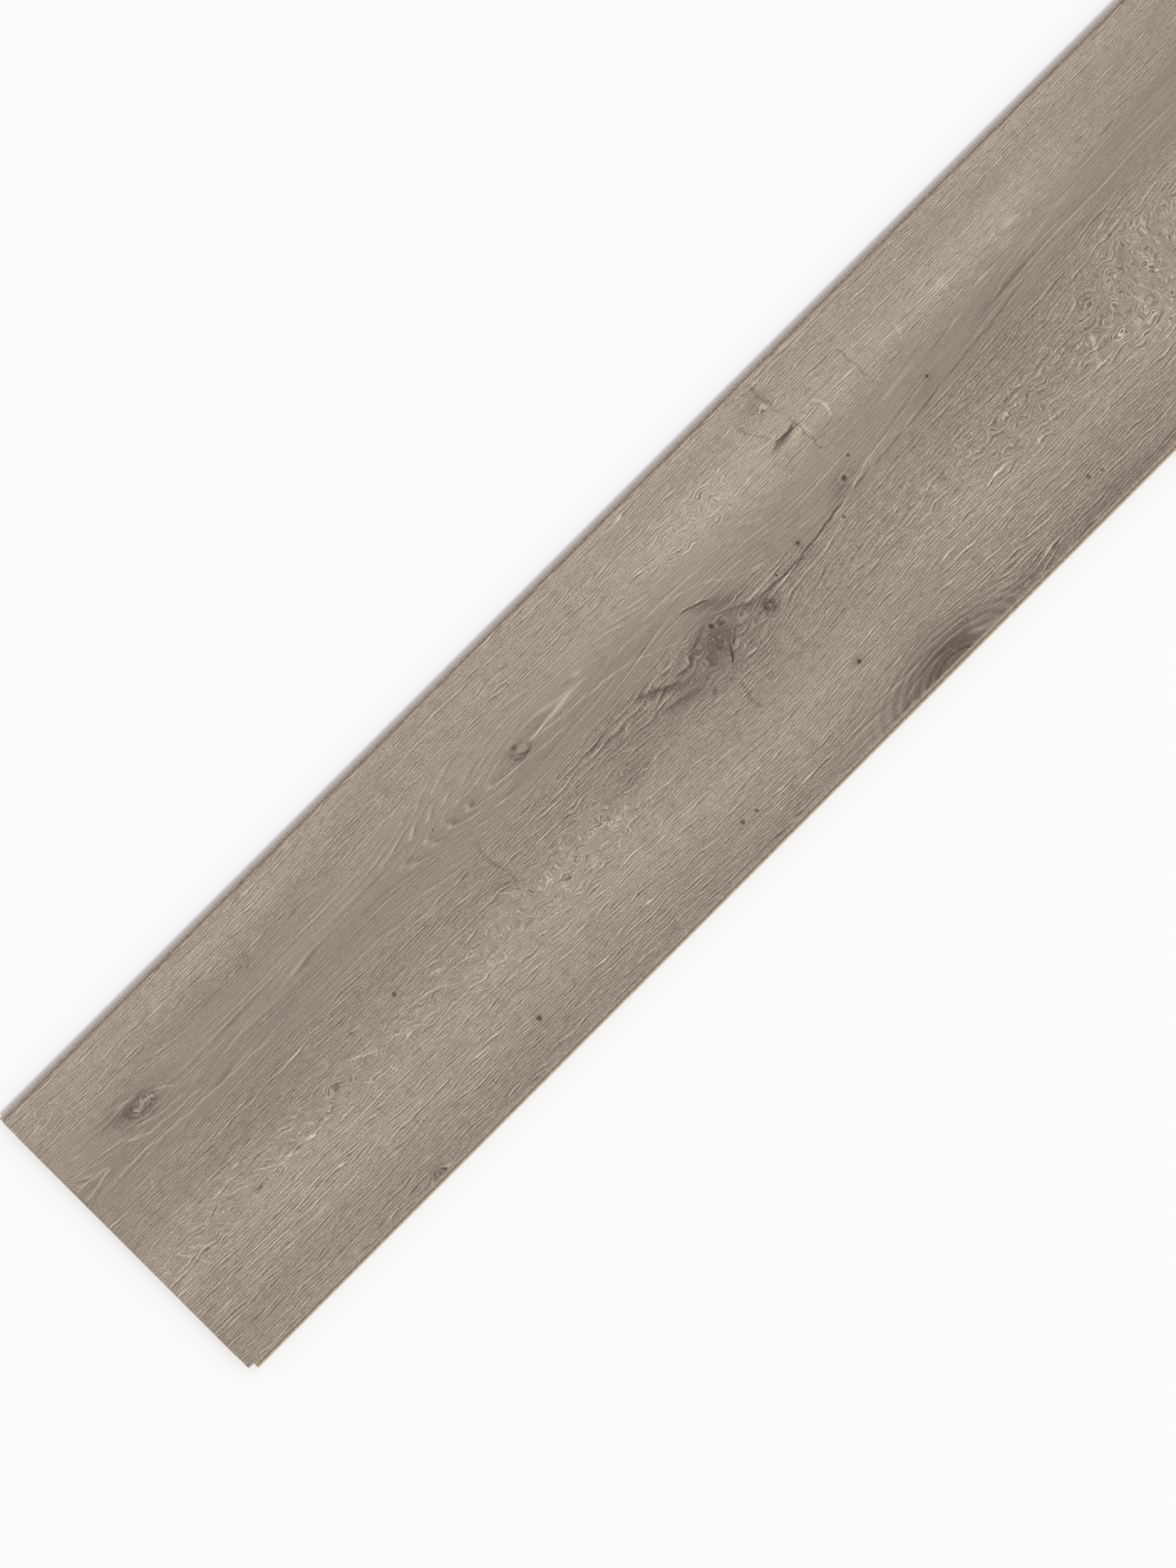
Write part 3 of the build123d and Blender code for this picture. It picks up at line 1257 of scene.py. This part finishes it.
@dataclass
class DecorSheet:
    """The decor face as a fine pressed sheet. Its sizes are in metres, and its fade is in millimetres."""

    length: float
    width: float
    height: float
    columns: int = 300
    rows: int = 300
    edge_fade: float = 1.5

    def sizes(self) -> dict[str, float]:
        """The tree's inputs by name, with whole numbers for counts."""
        return {"Length": self.length, "Width": self.width, "Height": self.height,
                "Vertices X": self.columns + 1, "Vertices Y": self.rows + 1}

    def tree(self, finish: bpy.types.Material) -> bpy.types.NodeTree:
        """Writes the tree.

        Args:
            finish: The decor material.

        Returns:
            The tree, whose inputs are the sheet's sizes.
        """
        tree = bpy.data.node_groups.new("pressed_decor", "GeometryNodeTree")
        for name, size in self.sizes().items():
            kind = "NodeSocketInt" if isinstance(size, int) else "NodeSocketFloat"
            tree.interface.new_socket(name, in_out="INPUT", socket_type=kind)
        tree.interface.new_socket("Sheet", in_out="OUTPUT", socket_type="NodeSocketGeometry")
        bench = Bench(tree)
        given = bench.node("NodeGroupInput").outputs
        grid = bench.node("GeometryNodeMeshGrid")
        for side, name in (("Size X", "Length"), ("Size Y", "Width")):
            bench.feed(grid.inputs[side], given[name])
        for name in ("Vertices X", "Vertices Y"):
            bench.feed(grid.inputs[name], given[name])
        position = bench.node("GeometryNodeInputPosition").outputs[0]
        grain = Grain(bench, bench.vector("MULTIPLY", position, (TO_MM, TO_MM, 0.0)))
        half_length = Signal(bench, given["Length"]) * (TO_MM / 2)
        half_width = Signal(bench, given["Width"]) * (TO_MM / 2)
        inside = (half_length - grain.x.size()).at_most(half_width - grain.y.size()).fade(0.0, self.edge_fade)
        relief = grain.relief() * inside * MM
        lift = bench.node("ShaderNodeCombineXYZ")
        bench.feed(lift.inputs["Z"], Signal(bench, given["Height"]) + relief)
        pressed = bench.node("GeometryNodeSetPosition")
        bench.feed(pressed.inputs["Offset"], lift.outputs[0])
        dressed = bench.node("GeometryNodeSetMaterial")
        dressed.inputs["Material"].default_value = finish
        smooth = bench.node("GeometryNodeSetShadeSmooth")
        real = bench.node("GeometryNodeRealizeInstances")
        sheet = grid.outputs["Mesh"]
        for node in (pressed, smooth, real, dressed):
            bench.feed(node.inputs["Geometry"], sheet)
            sheet = node.outputs[0]
        bench.feed(bench.node("NodeGroupOutput").inputs["Sheet"], sheet)
        return tree

    def build(self, finish: bpy.types.Material) -> bpy.types.Mesh:
        """Makes the sheet as a plain mesh.

        Args:
            finish: The decor material.

        Returns:
            The sheet's mesh, in the plank's frame.
        """
        tree = self.tree(finish)
        carrier = bpy.data.objects.new("decor_sheet", bpy.data.meshes.new("decor_sheet"))
        bpy.context.scene.collection.objects.link(carrier)
        modifier = carrier.modifiers.new("pressed_decor", "NODES")
        modifier.node_group = tree
        sizes = self.sizes()
        for item in tree.interface.items_tree:
            if item.item_type == "SOCKET" and item.in_out == "INPUT":
                modifier[item.identifier] = sizes[item.name]
        seen = carrier.evaluated_get(bpy.context.evaluated_depsgraph_get())
        mesh = bpy.data.meshes.new_from_object(seen)
        carrier.modifiers.remove(modifier)
        bpy.data.objects.remove(carrier)
        return mesh


Island = list[bmesh.types.BMFace]


@dataclass
class BakeLayout:
    """Where each face of the plank lies on its map: the decor in two runs, then the backing and the edges."""

    strip_height: float = 0.375
    backing_height: float = 0.11
    gap: float = 0.004
    same_way: float = 0.7
    least_reach: float = 0.0006
    tiny: float = 1e-6

    def write(self, mesh: bmesh.types.BMesh, length: float, width: float) -> None:
        """Writes the map.

        Args:
            mesh: The whole plank, with its faces' slots set.
            length: Length of the decor face, in metres.
            width: Width of the decor face, in metres.
        """
        layer = mesh.loops.layers.uv.new(BAKE_MAP)
        half = length / 2
        for face in mesh.faces:
            if face.material_index == Surface.DECOR.value:
                run = 0 if face.calc_center_median().x < 0 else 1
                low = run * (self.strip_height + self.gap)
                for loop in face.loops:
                    point = loop.vert.co
                    along = (point.x + half * (1 - run)) / half
                    across = (point.y + width / 2) / width
                    loop[layer].uv = (self._inset(along), low + across * self.strip_height)
        top = 2 * (self.strip_height + self.gap)
        backing, *edges = self._islands(mesh)
        reaches = [max(self._ends(island)[1][1], self.least_reach) for island in edges]
        room = 1.0 - top - self.backing_height - self.gap * (len(edges) + 2)
        rows = [self.backing_height] + [room * reach / sum(reaches) for reach in reaches]
        for island, tall in zip((backing, *edges), rows):
            self._lay(island, layer, top, tall)
            top += tall + self.gap

    def _inset(self, share: float) -> float:
        """Keeps a place a little inside the map's two sides."""
        return self.gap + share * (1.0 - 2 * self.gap)

    @staticmethod
    def _axes(face: bmesh.types.BMFace) -> tuple[int, int]:
        """The two axes that a face is drawn on: along the map and up it."""
        facing = max(range(3), key=lambda axis: abs(face.normal[axis]))
        return {0: (1, 2), 1: (0, 2), 2: (0, 1)}[facing]

    def _islands(self, mesh: bmesh.types.BMesh) -> list[Island]:
        """Finds joined faces that face the same way, without the decor.

        Args:
            mesh: The whole plank.

        Returns:
            The islands of such faces, the largest first.
        """
        left = {face for face in mesh.faces if face.material_index != Surface.DECOR.value}
        islands = []
        for start in sorted(left, key=lambda face: face.index):
            if start not in left:
                continue
            left.discard(start)
            axes = self._axes(start)
            island = [start]
            for face in island:
                for other in [other for edge in face.edges for other in edge.link_faces]:
                    alike = face.normal.dot(other.normal) > self.same_way and self._axes(other) == axes
                    if alike and other in left:
                        left.discard(other)
                        island.append(other)
            islands.append(island)
        return sorted(islands, key=lambda island: -sum(face.calc_area() for face in island))

    def _ends(self, island: Island) -> list[tuple[float, float]]:
        """Measures an island along the map and up it.

        Args:
            island: Faces that face the same way.

        Returns:
            For each of the two ways, where the island starts and how far it reaches, in metres.
        """
        ends = []
        for axis in self._axes(island[0]):
            places = [vert.co[axis] for face in island for vert in face.verts]
            ends.append((min(places), max(max(places) - min(places), self.tiny)))
        return ends

    def _lay(self, island: Island, layer: bmesh.types.BMLayerItem, low: float, tall: float) -> None:
        """Stretches an island over one row of the map.

        Args:
            island: Faces that face the same way.
            layer: The map.
            low: Where the row starts.
            tall: How tall the row is.
        """
        axes = self._axes(island[0])
        ends = self._ends(island)
        for face in island:
            for loop in face.loops:
                place = loop.vert.co
                along, up = [(place[axis] - start) / reach for axis, (start, reach) in zip(axes, ends)]
                loop[layer].uv = (self._inset(along), low + up * tall)


@dataclass
class Plank:
    """The whole plank: the milled board as it was packed, with the pressed decor sheet welded on as its face.

    Its sizes are in metres, and the face's own are taken from the board.
    """

    decor: DecorFinish = field(default_factory=DecorFinish)
    core: CoreFinish = field(default_factory=CoreFinish)
    backing: BackingFinish = field(default_factory=BackingFinish)
    layout: BakeLayout = field(default_factory=BakeLayout)
    name: str = "laminate_plank"
    weld: float = 2e-6
    sheet_weld: float = 4e-5
    top_slack: float = 1e-5
    flat_angle: float = 0.5
    level: float = 0.99
    length: float = 0.0
    width: float = 0.0
    height: float = 0.0

    def build(self) -> bpy.types.Object:
        """Makes the plank.

        Returns:
            The plank's piece.
        """
        low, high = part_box(PLANK_NODE)
        self.height = high.z
        finishes = [self.decor.build(), self.core.build((high.z - low.z) / MM), self.backing.build()]
        board = self._board()
        self._open_face(board)
        sheet = DecorSheet(self.length, self.width, self.height)
        self._weld_sheet(board, sheet, sheet.build(finishes[Surface.DECOR.value]))
        self.layout.write(board, self.length, self.width)
        mesh = bpy.data.meshes.new(self.name)
        board.to_mesh(mesh)
        board.free()
        for finish in finishes:
            mesh.materials.append(finish)
        piece = bpy.data.objects.new(self.name, mesh)
        bpy.context.scene.collection.objects.link(piece)
        return piece

    def _board(self) -> bmesh.types.BMesh:
        """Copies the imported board, with its flat faces whole and their slots set.

        Returns:
            The copy.
        """
        board = bmesh.new()
        board.from_mesh(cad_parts[PLANK_NODE].data)
        bmesh.ops.remove_doubles(board, verts=board.verts, dist=self.weld)
        flat = math.radians(self.flat_angle)
        bmesh.ops.dissolve_limit(board, angle_limit=flat, verts=board.verts, edges=board.edges)
        floor = min(vert.co.z for vert in board.verts)
        for face in board.faces:
            under = face.normal.z < -self.level and face.calc_center_median().z < floor + self.weld
            face.material_index = Surface.BACKING.value if under else Surface.CORE.value
            face.smooth = False
        return board

    def _open_face(self, board: bmesh.types.BMesh) -> None:
        """Takes the plain upper face off the board and keeps its length and width.

        Args:
            board: The board.
        """
        top = self.height - self.top_slack
        level = [face for face in board.faces if face.normal.z > self.level]
        upper = [face for face in level if face.calc_center_median().z > top]
        corners = [vert.co for face in upper for vert in face.verts]
        self.length = max(corner.x for corner in corners) - min(corner.x for corner in corners)
        self.width = max(corner.y for corner in corners) - min(corner.y for corner in corners)
        bmesh.ops.delete(board, geom=upper, context="FACES_ONLY")

    def _weld_sheet(self, board: bmesh.types.BMesh, sheet: DecorSheet, mesh: bpy.types.Mesh) -> None:
        """Divides the board's open rim as the sheet's edge is and joins the two.

        Args:
            board: The board without its upper face.
            sheet: The decor sheet.
            mesh: The sheet's mesh, which is used up.
        """
        rim = [edge for edge in board.edges if edge.is_boundary]
        for edge in rim:
            side = edge.verts[0].co - edge.verts[1].co
            cuts = (sheet.rows if abs(side.y) > abs(side.x) else sheet.columns) - 1
            bmesh.ops.subdivide_edges(board, edges=[edge], cuts=cuts)
        old = set(board.faces)
        board.from_mesh(mesh)
        for face in board.faces:
            if face not in old:
                face.material_index = Surface.DECOR.value
                face.smooth = True
        bmesh.ops.remove_doubles(board, verts=board.verts, dist=self.sheet_weld)
        board.faces.index_update()
        bpy.data.meshes.remove(mesh)


@dataclass
class PhotoCamera:
    """Camera straight above the plank, framed as the photograph is. Places in the picture are its pixels."""

    picture: tuple[float, float] = (1650.0, 2200.0)
    left_corner: tuple[float, float] = (4.3, 1575.3)
    face_width: float = 487.2
    lens: float = 200.0
    sensor: float = 36.0
    turn: float = -45.0

    def build(self, length: float, width: float, height: float) -> bpy.types.Object:
        """Makes the camera.

        Args:
            length: Length of the decor face, in metres.
            width: Width of the decor face, in metres.
            height: How high the decor face is, in metres.

        Returns:
            The camera.
        """
        pixel = width / self.face_width
        right = self.picture[0] / 2 - self.left_corner[0]
        down = self.picture[1] / 2 - self.left_corner[1]
        along = (right - down) / math.sqrt(2) * pixel
        across = (right + down) / math.sqrt(2) * pixel
        distance = self.picture[1] * pixel * self.lens / self.sensor
        data = bpy.data.cameras.new("photo_camera")
        data.lens = self.lens
        data.sensor_width = self.sensor
        camera = bpy.data.objects.new("photo_camera", data)
        camera.location = (along - length / 2, width / 2 - across, height + distance)
        camera.rotation_euler = (0.0, 0.0, math.radians(self.turn))
        bpy.context.scene.collection.objects.link(camera)
        bpy.context.scene.camera = camera
        return camera


@dataclass
class Studio:
    """White floor, even light from all round and one soft lamp from the plank's upper long side."""

    floor_size: float = 12.0
    floor_colour: Colour = (250, 250, 250)
    floor_roughness: float = 0.9
    floor_gap: float = 0.0003
    even_light: float = 0.68
    lamp_light: float = 0.34
    lamp_way: tuple[float, float] = (0.8, 1.0)
    lamp_height: float = 55.0
    lamp_softness: float = 15.0

    def build(self) -> None:
        """Makes the world, the lamp and the floor."""
        self._world()
        self._lamp()
        self._floor()

    def _world(self) -> None:
        """Makes even light that shows as white."""
        world = bpy.data.worlds.new("studio")
        world.use_nodes = True
        bpy.context.scene.world = world
        bench = Bench(world.node_tree)
        path = bench.node("ShaderNodeLightPath")
        seen = Signal(bench, path.outputs["Is Camera Ray"])
        for name in ("Is Glossy Ray", "Is Transmission Ray"):
            seen = seen.at_least(Signal(bench, path.outputs[name]))
        background = world.node_tree.nodes["Background"]
        background.inputs["Color"].default_value = (1.0, 1.0, 1.0, 1.0)
        bench.feed(background.inputs["Strength"], seen * (1.0 - self.even_light) + self.even_light)

    def _lamp(self) -> None:
        """Makes a sun that rakes over the pressed grain."""
        data = bpy.data.lights.new("window", "SUN")
        slant = math.radians(self.lamp_height)
        data.energy = self.lamp_light * math.pi / math.sin(slant)
        data.angle = math.radians(self.lamp_softness)
        lamp = bpy.data.objects.new("window", data)
        way = Vector(self.lamp_way).normalized() * math.cos(slant)
        lamp.rotation_euler = Vector((*way, -math.sin(slant))).to_track_quat("-Z", "Y").to_euler()
        bpy.context.scene.collection.objects.link(lamp)

    def _floor(self) -> bpy.types.Object:
        """Makes a pale floor that takes the plank's shadow.

        Returns:
            The floor.
        """
        half = self.floor_size / 2
        mesh = bpy.data.meshes.new("floor")
        corners = [(x * half, y * half, -self.floor_gap) for x, y in ((-1, -1), (1, -1), (1, 1), (-1, 1))]
        mesh.from_pydata(corners, [], [(0, 1, 2, 3)])
        material, _, shader = new_finish("white_floor")
        shader.inputs["Base Color"].default_value = linear(*self.floor_colour)
        shader.inputs["Roughness"].default_value = self.floor_roughness
        shader.inputs["Specular IOR Level"].default_value = 0.0
        mesh.materials.append(material)
        floor = bpy.data.objects.new("floor", mesh)
        bpy.context.scene.collection.objects.link(floor)
        return floor


def main() -> None:
    """Builds the plank, its camera and its studio."""
    logging.basicConfig(level=logging.INFO)
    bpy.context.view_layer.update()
    bpy.context.scene.view_settings.view_transform = "Standard"
    plank = Plank()
    piece = plank.build()
    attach(piece, BODY)
    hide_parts(PLANK_NODE)
    log.info("%s: %d faces", piece.name, len(piece.data.polygons))
    PhotoCamera().build(plank.length, plank.width, plank.height)
    Studio().build()


if __name__ == "__main__":
    main()
